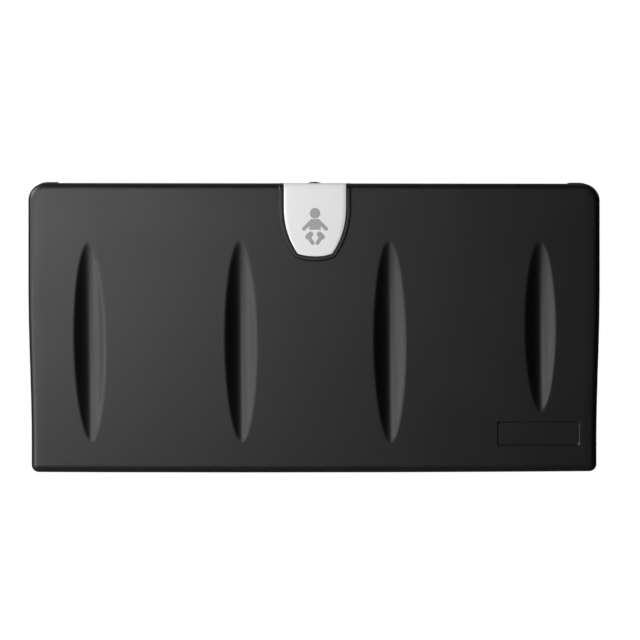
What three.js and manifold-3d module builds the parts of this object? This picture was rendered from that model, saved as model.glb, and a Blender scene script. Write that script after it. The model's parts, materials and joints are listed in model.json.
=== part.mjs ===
// Fold-down baby changing station for a washroom wall, in millimetres with +Z up.
// +X is to the right of someone facing it, the front faces -Y and the wall is the plane y = 0.
// The bed is modelled closed. Depths are measured forward from the wall, heights from the bottom edge.

import * as THREE from 'three';
import { mergeVertices } from 'three/addons/utils/BufferGeometryUtils.js';
import Module from 'manifold-3d';

const wasm = await Module();
wasm.setup();

// Overall sizes
const panelWidth = 927;
const panelHeight = 469;
const fullDepth = 102;
const wallUnitDepth = 50;
const rimGap = 2;
const skin = 3;
const seatGap = 0.3;
const turnGap = 0.4;
const overrun = 1;
const chamfer = 2;

// Panel outline, shared by the bed and the wall unit
const topCornerRadius = 28;
const bottomCornerRadius = 11;
const sideTaper = 5.4;
const taperTop = 300;
const taperBottom = 50;
const bottomBow = 2;
const frontEdgeRadius = 11;
const edgeSteps = 4;
const arcSegments = 4;
const leastRadius = 0.5;

// Top edge of the wall unit: shoulders at the corners, a finger scoop and a nub between them
const shoulderRise = 3.6;
const shoulderWidth = 45.5;
const scoopDrop = 14;
const scoopSlope = 5;
const nubRise = 4.5;
const nubWidth = 21;

// Hinge along the bottom
const hingeHeight = 30;
const hingeEndGap = 5;
const knuckleCount = 13;
const knuckleGap = 0.6;
const barrelRadius = 5.5;
const hingePinRadius = 3;
const leafThickness = 2;
const leafOffset = 3.5;
const wallLeafReach = 37;
const bedLeafReach = 30;
const barrelSides = 12;

// Apron that the open bed bears on
const apronEndGap = 13;
const apronCells = 8;
const skirtClearance = 3;

// Moulded grooves of the front panel
const grooveInset = 98.2;
const groovePitch = 245.1;
const grooveTopDrop = 96;
const grooveBottom = 47.5;
const grooveHalfWidth = 28;
const grooveDepth = 14;
const shortGrooveBottom = 98.6;
const shortGrooveHalfWidth = 25;
const grooveSteps = 11;
const grooveSides = 34;

// Recessed rectangle under the short groove
const recessWidth = 133;
const recessLow = 42.6;
const recessHigh = 81.9;
const recessDepth = 1;
const recessRadius = 4;

// Sign plate at the middle of the top edge, in a raised border
const signHalfWidth = 50.3;
const signCornerHalfWidth = 27.6;
const signStraight = 40;
const signCornerDrop = 114.5;
const signDrop = 119;
const signBend = 0.56;
const signCornerSpread = 0.6;
const signCornerSink = 0.75;
const signThickness = 1.5;
const signSeat = 0.5;
const borderWidth = 8.4;
const borderRise = 2.2;

// Tray of the bed
const traySideMargin = 35.5;
const trayLow = 52;
const trayTopMargin = 17;
const trayCornerRadius = 45;
const trayFillet = 18;
const panThickness = 3;

// Gas springs at both ends
const springInset = 20.5;
const springFootBack = 2;
const springFootDrop = 17;
const springHeadForward = 24;
const springHeadRise = 170;
const tubeRadius = 7.5;
const tubeLength = 118;
const rodRadius = 4;
const rodLength = 120;
const eyeRadius = 6.4;
const eyeWidth = 12;
const studRadius = 3;
const springPlate = 2;
const springBayWidth = 24;
const headBracketGap = 1;
const headBracketMargin = 2;
const flangeNotchTop = 130;

// Steel backer plate and its fixings
const plateWidth = 560;
const plateThickness = 2;
const plateLow = 70;
const plateTopMargin = 55;
const plateCornerRadius = 12;
const studSpacing = 406.4;
const studHoleMargin = 20;
const studHoleRadius = 4.5;
const plateScrewSideMargin = 30;
const plateScrewEndMargin = 40;
const plateScrewRadius = 3;
const plateScrewHead = 6;
const plateScrewHeadHeight = 2.8;

// Inner fascia of the wall unit and the posts behind it
const fasciaDepth = 33;
const fasciaThickness = 3;
const postRadius = 6;
const sidePostInset = 18.5;
const innerPostInset = 163.5;
const lowPostHeight = 80;
const footPostHeight = 60;
const sidePostDrop = 155;
const topPostDrop = 30;

// Liner dispensers, one on each side
const doorWidth = 290;
const doorMiddleGap = 80;
const doorHeight = 116;
const doorThickness = 3;
const doorPinHeight = 174.5;
const doorBarrelRadius = 4;
const doorPinRadius = 2;
const doorGap = 0.6;
const earLength = 12;
const earRadius = 4.6;
const pocketWall = 2;
const pocketDepth = 22;
const slotLength = 120;
const slotHeight = 26;
const slotRise = 52;
const stackHeight = 104;
const stackThickness = 15;
const stackMargin = 4;

// Quarter-turn locks of the liner doors
const lockRise = 98;
const lockRadius = 7.6;
const lockFlangeRadius = 10;
const lockFlange = 2;
const lockSlotDepth = 0.8;
const lockSlotWidth = 2;
const camLength = 22;
const camRadius = 6;
const camThickness = 2;

// Bag hooks
const hookInset = 58.5;
const hookDrop = 137;
const hookHeight = 54;
const hookWidth = 20;
const hookBase = 3;
const hookReach = 30;
const hookBar = 6;
const hookLip = 20;

// Rubber bumpers on the top corners
const bumperInset = 23.5;
const bumperDrop = 12;
const bumperRadius = 8;
const bumperStem = 3;
const padSize = 38;
const padThickness = 4;

// Safety strap and its cam buckle
const strapWidth = 40;
const strapThickness = 1.6;
const strapSlotMargin = 28;
const strapSlotWidth = 4;
const strapTail = 7;
const strapOverlap = 72;
const strapJog = 6;
const anchorBarWidth = 5;
const anchorBarThickness = 3;
const anchorBarLength = 64;
const buckleDrop = 30;
const buckleLength = 62;
const buckleWidth = 47;
const bucklePlate = 2;
const cheekThickness = 2.5;
const cheekHeight = 11;
const cheekLength = 36;
const bucklePinRadius = 2;
const bucklePinRise = 40;
const camLobe = 4.6;
const leverLength = 36;
const leverThickness = 2.5;

// Steel channels that stiffen the bed
const channelWidth = 34;
const channelSheet = 1.5;
const channelMargin = 25;

// Places worked out from the sizes above
const halfWidth = panelWidth / 2;
const scoopTop = panelHeight - scoopDrop;
const shoulderInner = halfWidth - shoulderWidth;
const springOffset = halfWidth - springInset;
const apronWidth = 2 * (springOffset - apronEndGap);
const hingeLength = apronWidth - 2 * hingeEndGap;
const outerGroove = halfWidth - grooveInset;
const innerGroove = outerGroove - groovePitch;
const grooveOffsets = [-outerGroove, -innerGroove, innerGroove, outerGroove];
const grooveTop = panelHeight - grooveTopDrop;
const channelOffset = (outerGroove + innerGroove) / 2;
const bedBack = wallUnitDepth + rimGap;
const hingeDepth = wallUnitDepth + rimGap / 2;
const leafTop = leafOffset + leafThickness;
const apronTop = hingeHeight - leafTop - seatGap;
const apronFront = hingeDepth + leafOffset - seatGap;
const bedFloorLow = hingeHeight + leafTop + seatGap;
const bedFloorHigh = bedFloorLow + skin;
const skirtBack = hingeDepth + hingeHeight + skirtClearance;
const backPanel = plateThickness + seatGap;
const backPanelFront = backPanel + skin;
const panUnder = fullDepth - grooveDepth - skin - seatGap;
const panFloor = panUnder - panThickness;
const flangeFront = bedBack + panThickness;
const shellInside = fullDepth - skin;
const fasciaBack = fasciaDepth - fasciaThickness;
const doorAxisDepth = fasciaDepth - doorThickness / 2;
const doorLow = doorPinHeight - doorBarrelRadius;
const doorTop = doorLow + doorHeight;
const trayHalfWidth = halfWidth - traySideMargin;
const trayHigh = panelHeight - trayTopMargin;
const trayMiddle = (trayLow + trayHigh) / 2;
const strapSlotLow = trayLow + strapSlotMargin;
const strapSlotHigh = trayHigh - strapSlotMargin;
const channelLow = trayLow + channelMargin;
const channelHigh = trayHigh - channelMargin;
const buckleLow = trayMiddle - buckleDrop;
const strapEnd = buckleLow - strapOverlap;
const plateHeight = scoopTop - plateTopMargin - plateLow;
const plateHigh = plateLow + plateHeight;
const studHoleHeights = [plateLow + studHoleMargin, plateHigh - studHoleMargin];
const plateScrewSpacing = plateWidth - 2 * plateScrewSideMargin;
const plateScrewHeights = [plateLow + plateScrewEndMargin, plateHigh - plateScrewEndMargin];
const doorCentre = doorMiddleGap + doorWidth / 2;
const hookOffset = halfWidth - hookInset;
const hookLow = scoopTop - hookDrop;
const bumperOffset = halfWidth - bumperInset;
const bumperHeight = scoopTop - bumperDrop;
const mountHeight = plateLow + plateHeight / 2;
const sides = [['left', -1], ['right', 1]];

// Finishes
const finish = (color, roughness, metalness = 0) =>
  new THREE.MeshStandardMaterial({ color, roughness, metalness });
const blackShell = finish(0x262627, 0.6);
const blackTray = finish(0x2a2a2b, 0.65);
const signWhite = finish(0xe1e3e0, 0.5);
const zincSteel = finish(0xb4b8bb, 0.4, 1);
const chromeRod = finish(0xd8dadc, 0.15, 1);
const springBlack = finish(0x1b1b1c, 0.45);
const rubberBlack = finish(0x151515, 0.85);
const webbingGrey = finish(0x2d2e30, 0.85);
const bucklePlastic = finish(0x1d1d1e, 0.5);
const paperWhite = finish(0xf1efe9, 0.9);

// Solids from geometry, and back
function solidOf(geometry) {
  const bare = geometry.index ? geometry.toNonIndexed() : geometry.clone();
  bare.deleteAttribute('normal');
  bare.deleteAttribute('uv');
  const merged = mergeVertices(bare, 1e-4);
  return new wasm.Manifold(new wasm.Mesh({
    numProp: 3,
    vertProperties: new Float32Array(merged.attributes.position.array),
    triVerts: new Uint32Array(merged.index.array),
  }));
}

function geometryOf(solid) {
  const mesh = solid.getMesh();
  const geometry = new THREE.BufferGeometry();
  geometry.setAttribute('position', new THREE.BufferAttribute(new Float32Array(mesh.vertProperties), 3));
  geometry.setIndex(new THREE.BufferAttribute(new Uint32Array(mesh.triVerts), 1));
  const flat = geometry.toNonIndexed();
  flat.computeVertexNormals();
  return flat;
}

const joined = (...solids) => solids.reduce((whole, next) => whole.add(next));
const cutBy = (solid, ...cutters) => cutters.reduce((rest, next) => rest.subtract(next), solid);

// A box between two values on each axis, with depth counted forward from the wall
function block([x0, x1], [d0, d1], [z0, z1]) {
  const geometry = new THREE.BoxGeometry(x1 - x0, d1 - d0, z1 - z0);
  geometry.translate((x0 + x1) / 2, -(d0 + d1) / 2, (z0 + z1) / 2);
  return solidOf(geometry);
}

// A shape drawn in x and height, pushed forward between two depths
function prism(shape, d0, d1) {
  const geometry = new THREE.ExtrudeGeometry(shape, {
    depth: d1 - d0, bevelEnabled: false, curveSegments: arcSegments,
  });
  geometry.rotateX(Math.PI / 2);
  geometry.translate(0, -d0, 0);
  return solidOf(geometry);
}

// A shape drawn in depth and height, drawn out along x between two values
const sideways = new THREE.Matrix4().makeBasis(
  new THREE.Vector3(0, 1, 0), new THREE.Vector3(0, 0, 1), new THREE.Vector3(1, 0, 0));

function across(shape, x0, x1) {
  const faced = new THREE.Shape(ringOf(shape).map((p) => new THREE.Vector2(-p.x, p.y)));
  const geometry = new THREE.ExtrudeGeometry(faced, { depth: x1 - x0, bevelEnabled: false });
  geometry.applyMatrix4(sideways);
  geometry.translate(x0, 0, 0);
  return solidOf(geometry);
}

function rodAcross(x0, x1, depth, height, radius, facets = barrelSides) {
  const geometry = new THREE.CylinderGeometry(radius, radius, x1 - x0, facets);
  geometry.rotateZ(Math.PI / 2);
  geometry.translate((x0 + x1) / 2, -depth, height);
  return solidOf(geometry);
}

function rodForward(x, height, d0, d1, radius, facets = barrelSides) {
  const geometry = new THREE.CylinderGeometry(radius, radius, d1 - d0, facets);
  geometry.translate(x, -(d0 + d1) / 2, height);
  return solidOf(geometry);
}

// A turned solid standing on +Z, from radius and height pairs that start and end on the axis
function turned(profile, facets = 16) {
  const geometry = new THREE.LatheGeometry(profile.map(([r, h]) => new THREE.Vector2(r, h)), facets);
  geometry.rotateX(Math.PI / 2);
  return solidOf(geometry);
}

// A closed skin through rings of equal point count, each ring an outline at its own depth
function loft(rings) {
  const corners = [];
  const indices = [];
  const count = rings[0].points.length;
  rings.forEach(({ points, depth }) => points.forEach((p) => corners.push(p.x, -depth, p.y)));
  for (let ring = 0; ring < rings.length - 1; ring += 1) {
    for (let k = 0; k < count; k += 1) {
      const a = ring * count + k;
      const b = ring * count + ((k + 1) % count);
      indices.push(a, b, a + count, b, b + count, a + count);
    }
  }
  const cap = THREE.ShapeUtils.triangulateShape(rings[0].points, []);
  const last = (rings.length - 1) * count;
  cap.forEach(([a, b, c]) => indices.push(a, c, b));
  const frontCap = THREE.ShapeUtils.triangulateShape(rings[rings.length - 1].points, []);
  frontCap.forEach(([a, b, c]) => indices.push(last + a, last + b, last + c));
  const geometry = new THREE.BufferGeometry();
  geometry.setAttribute('position', new THREE.Float32BufferAttribute(corners, 3));
  geometry.setIndex(indices);
  return solidOf(geometry);
}

// The points of an outline, without those that repeat where two curves meet
function ringOf(shape) {
  const points = shape.getPoints(arcSegments);
  return points.filter((point, k) => point.distanceTo(points[(k + 1) % points.length]) > 1e-4);
}

// Rings of an outline that runs straight forward and then rounds inward over its front edge
function roundedFront(outline, inset, back, front, radius) {
  const rings = [{ points: ringOf(outline(inset)), depth: back }];
  for (let step = 0; step <= edgeSteps; step += 1) {
    const angle = (step / edgeSteps) * (Math.PI / 2);
    const points = ringOf(outline(inset + radius * (1 - Math.cos(angle))));
    rings.push({ points, depth: front - radius + radius * Math.sin(angle) });
  }
  return loft(rings);
}

// Panel outline: tapered sides, round top corners and a slightly bowed bottom edge
function panelOutline(inset, topEdge = panelHeight) {
  const high = halfWidth - inset;
  const low = halfWidth - sideTaper - inset;
  const top = topEdge - inset;
  const bottom = bottomBow + inset;
  const topRadius = Math.max(topCornerRadius - inset, leastRadius);
  const bottomRadius = Math.max(bottomCornerRadius - inset, leastRadius);
  const middle = (taperTop + taperBottom) / 2;
  const shape = new THREE.Shape();
  shape.moveTo(-low + bottomRadius, bottom);
  shape.quadraticCurveTo(0, bottom - 2 * bottomBow, low - bottomRadius, bottom);
  shape.absarc(low - bottomRadius, bottom + bottomRadius, bottomRadius, -Math.PI / 2, 0);
  shape.lineTo(low, taperBottom);
  shape.bezierCurveTo(low, middle, high, middle, high, taperTop);
  shape.lineTo(high, top - topRadius);
  shape.absarc(high - topRadius, top - topRadius, topRadius, 0, Math.PI / 2);
  shape.lineTo(-high + topRadius, top);
  shape.absarc(-high + topRadius, top - topRadius, topRadius, Math.PI / 2, Math.PI);
  shape.lineTo(-high, taperTop);
  shape.bezierCurveTo(-high, middle, -low, middle, -low, taperBottom);
  shape.lineTo(-low, bottom + bottomRadius);
  shape.absarc(-low + bottomRadius, bottom + bottomRadius, bottomRadius, Math.PI, 1.5 * Math.PI);
  return shape;
}

function roundedRectangle(x0, x1, z0, z1, radius) {
  const shape = new THREE.Shape();
  shape.moveTo(x0 + radius, z0);
  shape.lineTo(x1 - radius, z0);
  shape.absarc(x1 - radius, z0 + radius, radius, -Math.PI / 2, 0);
  shape.lineTo(x1, z1 - radius);
  shape.absarc(x1 - radius, z1 - radius, radius, 0, Math.PI / 2);
  shape.lineTo(x0 + radius, z1);
  shape.absarc(x0 + radius, z1 - radius, radius, Math.PI / 2, Math.PI);
  shape.lineTo(x0, z0 + radius);
  shape.absarc(x0 + radius, z0 + radius, radius, Math.PI, 1.5 * Math.PI);
  return shape;
}

function polygon(points) {
  return new THREE.Shape(points.map(([a, b]) => new THREE.Vector2(a, b)));
}

// The model, and its two main halves
const station = new THREE.Group();
const wallUnit = new THREE.Group();
const bed = new THREE.Group();
station.add(wallUnit, bed);
wallUnit.position.z = -mountHeight;
bed.position.z = -mountHeight;

function addPiece(parent, name, solid, material) {
  const mesh = new THREE.Mesh(geometryOf(solid), material);
  mesh.name = name;
  parent.add(mesh);
}

// Wall unit: a shallow moulded shell, open at the front
function scoopCutter() {
  const inner = shoulderInner - scoopSlope;
  const high = panelHeight + shoulderRise + skin;
  const shape = polygon([
    [inner, scoopTop], [shoulderInner, scoopTop + scoopSlope], [shoulderInner, high],
    [-shoulderInner, high], [-shoulderInner, scoopTop + scoopSlope], [-inner, scoopTop]]);
  return prism(shape, -skin, wallUnitDepth + skin);
}

function topNub() {
  const half = nubWidth / 2;
  const centre = panelHeight + nubRise - half;
  const shape = new THREE.Shape();
  shape.moveTo(-half, scoopTop - skin / 2);
  shape.lineTo(half, scoopTop - skin / 2);
  shape.absarc(0, centre, half, 0, Math.PI);
  return prism(shape, 0, wallUnitDepth);
}

function mountHoles(d0, d1) {
  const holes = [];
  for (const x of [-studSpacing / 2, studSpacing / 2]) {
    for (const z of studHoleHeights) holes.push(rodForward(x, z, d0, d1, studHoleRadius));
  }
  for (const x of [-plateScrewSpacing / 2, plateScrewSpacing / 2]) {
    for (const z of plateScrewHeights) holes.push(rodForward(x, z, d0, d1, plateScrewRadius + turnGap));
  }
  return holes;
}

function apron() {
  const half = apronWidth / 2;
  const pitch = (apronWidth - skin) / apronCells;
  const body = block([-half, half], [backPanel, apronFront], [0, apronTop]);
  const cells = [];
  for (let cell = 0; cell < apronCells; cell += 1) {
    const start = -half + skin + cell * pitch;
    const span = [start, start + pitch - skin];
    cells.push(block(span, [backPanelFront, apronFront - skin], [-skin, apronTop - skin]));
  }
  return [body, cells];
}

function wallShell() {
  const outline = (inset) => panelOutline(inset, panelHeight + shoulderRise);
  const inside = panelOutline(skin, scoopTop);
  const outer = prism(outline(0), 0, wallUnitDepth).subtract(scoopCutter()).add(topNub());
  const hollow = prism(inside, backPanelFront, wallUnitDepth + skin);
  const plateRecess = prism(inside, -skin, backPanel);
  const [beam, cells] = apron();
  const topPost = scoopTop - topPostDrop;
  const sidePost = halfWidth - sidePostInset;
  const innerPost = halfWidth - innerPostInset;
  const postPlaces = [[sidePost, lowPostHeight], [sidePost, scoopTop - sidePostDrop],
    [innerPost, topPost], [innerPost, footPostHeight]];
  const posts = [lowPostHeight, topPost].map(
    (z) => rodForward(0, z, backPanel, fasciaBack - seatGap, postRadius));
  const pads = [];
  const stems = [];
  for (const [, side] of sides) {
    for (const [x, z] of postPlaces) {
      posts.push(rodForward(side * x, z, backPanel, fasciaBack - seatGap, postRadius));
    }
    const corner = side * bumperOffset;
    const padBox = block([corner - padSize / 2, corner + padSize / 2],
      [wallUnitDepth - padThickness, wallUnitDepth], [bumperHeight - padSize / 2, scoopTop]);
    pads.push(padBox.intersect(prism(panelOutline(skin / 2, scoopTop), 0, wallUnitDepth)));
    stems.push(rodForward(corner, bumperHeight, 0, fullDepth, bumperStem + turnGap));
  }
  const stemHoles = stems.map((stem) => stem.intersect(
    block([-panelWidth, panelWidth], [fasciaDepth, fullDepth], [0, panelHeight])));
  const shell = joined(cutBy(outer, hollow, plateRecess), beam, ...posts, ...pads);
  return cutBy(shell, ...cells, ...stemHoles, ...mountHoles(-skin, backPanelFront + skin));
}
addPiece(wallUnit, 'wall_shell', wallShell(), blackShell);

// Steel backer plate against the wall, with the screws that hold the shell to it
const plateShape = roundedRectangle(-plateWidth / 2, plateWidth / 2, plateLow, plateLow + plateHeight,
  plateCornerRadius);
const backerPlate = cutBy(prism(plateShape, 0, plateThickness), ...mountHoles(-skin, backPanelFront));
addPiece(wallUnit, 'backer_plate', backerPlate, zincSteel);

let screwNumber = 0;
for (const x of [-plateScrewSpacing / 2, plateScrewSpacing / 2]) {
  for (const z of plateScrewHeights) {
    screwNumber += 1;
    const headBack = backPanelFront + seatGap;
    const shank = rodForward(x, z, seatGap, headBack + seatGap, plateScrewRadius);
    const head = rodForward(x, z, headBack, headBack + plateScrewHeadHeight, plateScrewHead);
    addPiece(wallUnit, `plate_screw_${screwNumber}`, shank.add(head), zincSteel);
  }
}

// Inner fascia with the two liner pockets
const openingLow = doorLow - doorGap;
const openingHigh = doorTop + doorGap;
const openingHalf = doorWidth / 2 + doorGap;
const pocketBack = fasciaBack - pocketDepth;
const pocketFloor = openingLow;
const lockHeight = doorPinHeight + lockRise;
const camDepth = fasciaBack - camThickness - 2 * seatGap;

function pocketOf(centre) {
  const wide = [centre - openingHalf, centre + openingHalf];
  const outerWide = [wide[0] - pocketWall, wide[1] + pocketWall];
  const shell = block(outerWide, [pocketBack - pocketWall, fasciaBack + seatGap],
    [pocketFloor - pocketWall, openingHigh + pocketWall]);
  const ears = wide.map((x, end) => {
    const far = x + (end ? earLength : -earLength);
    return rodAcross(Math.min(x, far), Math.max(x, far), doorAxisDepth, doorPinHeight, earRadius);
  });
  const room = block(wide, [pocketBack, fasciaDepth + skin], [pocketFloor, openingHigh]);
  const pinHole = rodAcross(wide[0] - earLength + pocketWall, wide[1] + earLength - pocketWall,
    doorAxisDepth, doorPinHeight, doorPinRadius + seatGap);
  const keeper = block([centre - camRadius - overrun, centre + camLength],
    [camDepth - overrun, fasciaBack], [openingHigh - overrun, openingHigh + camLength]);
  return { shell, ears, cuts: [room, pinHole, keeper] };
}

function wallFascia() {
  const outline = panelOutline(skin + seatGap, scoopTop);
  const low = hingeHeight - leafOffset + seatGap;
  const plate = prism(outline, fasciaBack, fasciaDepth)
    .intersect(block([-panelWidth, panelWidth], [0, fullDepth], [low, panelHeight]));
  const pockets = sides.map(([, side]) => pocketOf(side * doorCentre));
  const solids = pockets.flatMap(({ shell, ears }) => [shell, ...ears]);
  return cutBy(joined(plate, ...solids), ...pockets.flatMap(({ cuts }) => cuts));
}
addPiece(wallUnit, 'wall_fascia', wallFascia(), blackTray);

// Hinge: two leaves with interleaved knuckles on one pin
function hingeLeaf(first, leafDirection) {
  const pitch = hingeLength / knuckleCount;
  const near = barrelRadius + turnGap;
  const reach = leafDirection < 0 ? wallLeafReach : bedLeafReach;
  const depths = [near, reach].map((d) => hingeDepth + leafDirection * d).sort((a, b) => a - b);
  const heights = [leafOffset, leafTop].map((h) => hingeHeight + leafDirection * h).sort((a, b) => a - b);
  const plate = block([-hingeLength / 2, hingeLength / 2], depths, heights);
  const knuckles = [];
  for (let k = first; k < knuckleCount; k += 2) {
    const start = -hingeLength / 2 + k * pitch + knuckleGap / 2;
    const span = [start, start + pitch - knuckleGap];
    const tabDepths = [0, near + leafThickness].map((d) => hingeDepth + leafDirection * d)
      .sort((a, b) => a - b);
    knuckles.push(rodAcross(span[0], span[1], hingeDepth, hingeHeight, barrelRadius));
    knuckles.push(block(span, tabDepths, heights));
  }
  const bore = rodAcross(-hingeLength, hingeLength, hingeDepth, hingeHeight, hingePinRadius + turnGap);
  return joined(plate, ...knuckles).subtract(bore);
}
addPiece(wallUnit, 'hinge_leaf_wall', hingeLeaf(0, -1), zincSteel);
addPiece(bed, 'hinge_leaf_bed', hingeLeaf(1, 1), zincSteel);
const hingePinEnd = hingeLength / 2 + skin;
const hingePin = rodAcross(-hingePinEnd, hingePinEnd, hingeDepth, hingeHeight, hingePinRadius);
addPiece(wallUnit, 'hinge_pin', hingePin, zincSteel);

// Bed shell: constant wall, front edge rounded, skirt below the hinge and four lens-shaped grooves
function spindle(x, low, high, wide, extra) {
  const length = (high - low) / 2;
  const axisAhead = (wide * wide - grooveDepth * grooveDepth) / (2 * grooveDepth);
  const profile = [[0, -length]];
  for (let step = 0; step <= grooveSteps; step += 1) {
    const along = -Math.cos((step / grooveSteps) * Math.PI);
    const width = wide * Math.sqrt(Math.max(1 - along * along, 0));
    profile.push([Math.hypot(axisAhead, width) + extra, along * length]);
  }
  profile.push([0, length]);
  const geometry = new THREE.LatheGeometry(profile.map(([r, h]) => new THREE.Vector2(r, h)), grooveSides);
  geometry.rotateX(Math.PI / 2);
  geometry.translate(x, -(fullDepth + axisAhead), (low + high) / 2);
  return solidOf(geometry);
}

function signOutline(margin) {
  const wide = signHalfWidth + margin;
  const corner = signCornerHalfWidth + margin * signCornerSpread;
  const straight = panelHeight - signStraight;
  const cornerZ = panelHeight - signCornerDrop - margin * signCornerSink;
  const lowest = panelHeight - signDrop - margin;
  const bend = straight - (straight - cornerZ) * signBend;
  const shape = new THREE.Shape();
  shape.moveTo(wide, panelHeight + skin);
  shape.lineTo(-wide, panelHeight + skin);
  shape.lineTo(-wide, straight);
  shape.quadraticCurveTo(-wide, bend, -corner, cornerZ);
  shape.quadraticCurveTo(0, 2 * lowest - cornerZ, corner, cornerZ);
  shape.quadraticCurveTo(wide, bend, wide, straight);
  return shape;
}

// Everything behind a surface that lies a little ahead of the panel and rolls over its top edge
function signBody(rise) {
  const depthRadius = frontEdgeRadius + rise;
  const heightRadius = frontEdgeRadius + rise - borderRise - signSeat / 2;
  const back = fullDepth - frontEdgeRadius;
  const shape = new THREE.Shape();
  shape.moveTo(back - skin, panelHeight / 2);
  shape.lineTo(fullDepth + rise, panelHeight / 2);
  shape.lineTo(fullDepth + rise, panelHeight - frontEdgeRadius);
  shape.absellipse(back, panelHeight - frontEdgeRadius, depthRadius, heightRadius, 0, Math.PI / 2);
  shape.lineTo(back - skin, panelHeight - frontEdgeRadius + heightRadius);
  return across(shape, -signHalfWidth * 2, signHalfWidth * 2);
}

const signBack = fullDepth - frontEdgeRadius;
const signFace = signSeat + signThickness;

function bedShell() {
  const wide = [-panelWidth, panelWidth];
  const outer = roundedFront(panelOutline, 0, bedBack, fullDepth, frontEdgeRadius);
  const inner = roundedFront(panelOutline, skin, bedBack - skin, shellInside, frontEdgeRadius - skin);
  const notch = block(wide, [0, skirtBack], [-skin, bedFloorLow]);
  const floor = block(wide, [0, skirtBack + skin], [-skin, bedFloorHigh]);
  const behindFace = block(wide, [0, fullDepth - skin / 2], [0, panelHeight]);
  const grooves = grooveOffsets.map((x, index) => {
    const short = index === grooveOffsets.length - 1;
    const low = short ? shortGrooveBottom : grooveBottom;
    const wideHalf = short ? shortGrooveHalfWidth : grooveHalfWidth;
    const groove = (extra) => spindle(x, low, grooveTop, wideHalf, extra);
    return { bulge: groove(skin).intersect(behindFace), cut: groove(0) };
  });
  const recessCentre = grooveOffsets[grooveOffsets.length - 1];
  const recess = prism(roundedRectangle(recessCentre - recessWidth / 2, recessCentre + recessWidth / 2,
    recessLow, recessHigh, recessRadius), fullDepth - recessDepth, fullDepth + skin);
  const border = prism(signOutline(borderWidth), signBack, fullDepth + 2 * borderRise)
    .intersect(signBody(borderRise));
  const signRoom = prism(signOutline(seatGap), signBack - seatGap, fullDepth + 2 * borderRise)
    .subtract(signBody(signSeat - seatGap));
  const bays = sides.map(([, side]) => block(
    [side * springOffset - springBayWidth / 2, side * springOffset + springBayWidth / 2],
    [bedBack - skin, skirtBack], [bedFloorLow - skin, bedFloorHigh + skin]));
  const hollowShell = cutBy(outer.add(border), notch, inner.subtract(floor), ...bays);
  const bulged = joined(hollowShell, ...grooves.map(({ bulge }) => bulge));
  return cutBy(bulged, ...grooves.map(({ cut }) => cut), recess, signRoom);
}
addPiece(bed, 'bed_shell', bedShell(), blackShell);

const signPlate = prism(signOutline(0), signBack, fullDepth + 2 * borderRise)
  .intersect(signBody(signFace)).subtract(signBody(signSeat));
addPiece(bed, 'sign_plate', signPlate, signWhite);

// Bed pan: a tray with rounded corners, hung by a flange inside the rim of the shell
function bedPan() {
  const trayOutline = (inset) => roundedRectangle(-trayHalfWidth + inset, trayHalfWidth - inset,
    trayLow + inset, trayHigh - inset, trayCornerRadius - inset);
  const room = roundedFront(trayOutline, 0, bedBack - skin, panFloor, trayFillet);
  const body = roundedFront(trayOutline, -panThickness, bedBack, panUnder, trayFillet + panThickness);
  const flange = prism(panelOutline(skin + seatGap), bedBack, flangeFront).intersect(
    block([-panelWidth, panelWidth], [0, fullDepth], [bedFloorHigh + seatGap, panelHeight]));
  const bays = sides.map(([, side]) => block(
    [side * springOffset - springBayWidth / 2, side * springOffset + springBayWidth / 2],
    [bedBack - skin, flangeFront + seatGap], [bedFloorLow, flangeNotchTop]));
  const slots = [strapSlotLow, strapSlotHigh].map((z) => block(
    [-strapWidth / 2 - seatGap, strapWidth / 2 + seatGap], [panFloor - skin, panUnder + skin],
    [z - strapSlotWidth / 2, z + strapSlotWidth / 2]));
  return cutBy(joined(flange, body), room, ...bays, ...slots);
}
addPiece(bed, 'bed_pan', bedPan(), blackTray);

// Steel channels between the pan and the shell
for (const [name, side] of sides) {
  const near = panUnder + seatGap;
  const far = shellInside - seatGap;
  const centre = side * channelOffset;
  const outer = [centre - channelWidth / 2, centre + channelWidth / 2];
  const inner = [outer[0] + channelSheet, outer[1] - channelSheet];
  const channel = block(outer, [near, far], [channelLow, channelHigh])
    .subtract(block(inner, [near + channelSheet, far + overrun],
      [channelLow - overrun, channelHigh + overrun]));
  addPiece(bed, `bed_stiffener_${name}`, channel, zincSteel);
}

// Gas springs: an eye and rod turn on the wall unit, the tube slides on the rod up to a stud on the bed
const footDepth = hingeDepth - springFootBack;
const footHeight = hingeHeight - springFootDrop;
const headDepth = hingeDepth + springHeadForward;
const headHeight = hingeHeight + springHeadRise;
const springTilt = Math.atan2(headDepth - footDepth, headHeight - footHeight);
const springLength = Math.hypot(headDepth - footDepth, headHeight - footHeight);
const tubeTop = springLength - eyeRadius - overrun;
const tubeBottom = tubeTop - tubeLength;

function springEye(height, bored) {
  const drum = rodAcross(-eyeWidth / 2, eyeWidth / 2, 0, height, eyeRadius);
  if (!bored) return drum;
  return drum.subtract(rodAcross(-eyeWidth, eyeWidth, 0, height, studRadius + turnGap));
}

function springRod() {
  const start = eyeRadius - overrun;
  const rod = turned([[0, start], [rodRadius, start], [rodRadius, rodLength], [0, rodLength]]);
  return springEye(0, true).add(rod.subtract(rodAcross(-eyeWidth, eyeWidth, 0, 0, studRadius + turnGap)));
}

function springTube() {
  const bore = rodRadius + seatGap;
  const tube = turned([[0, tubeBottom], [tubeRadius, tubeBottom], [tubeRadius, tubeTop - chamfer],
    [tubeRadius - chamfer, tubeTop], [rodRadius, tubeTop + chamfer], [rodRadius, springLength],
    [0, springLength]]);
  const open = tubeBottom - overrun;
  const room = turned([[0, open], [bore, open], [bore, tubeTop - 2 * skin],
    [0, tubeTop - 2 * skin]]);
  return tube.subtract(room).add(springEye(springLength, false));
}

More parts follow.
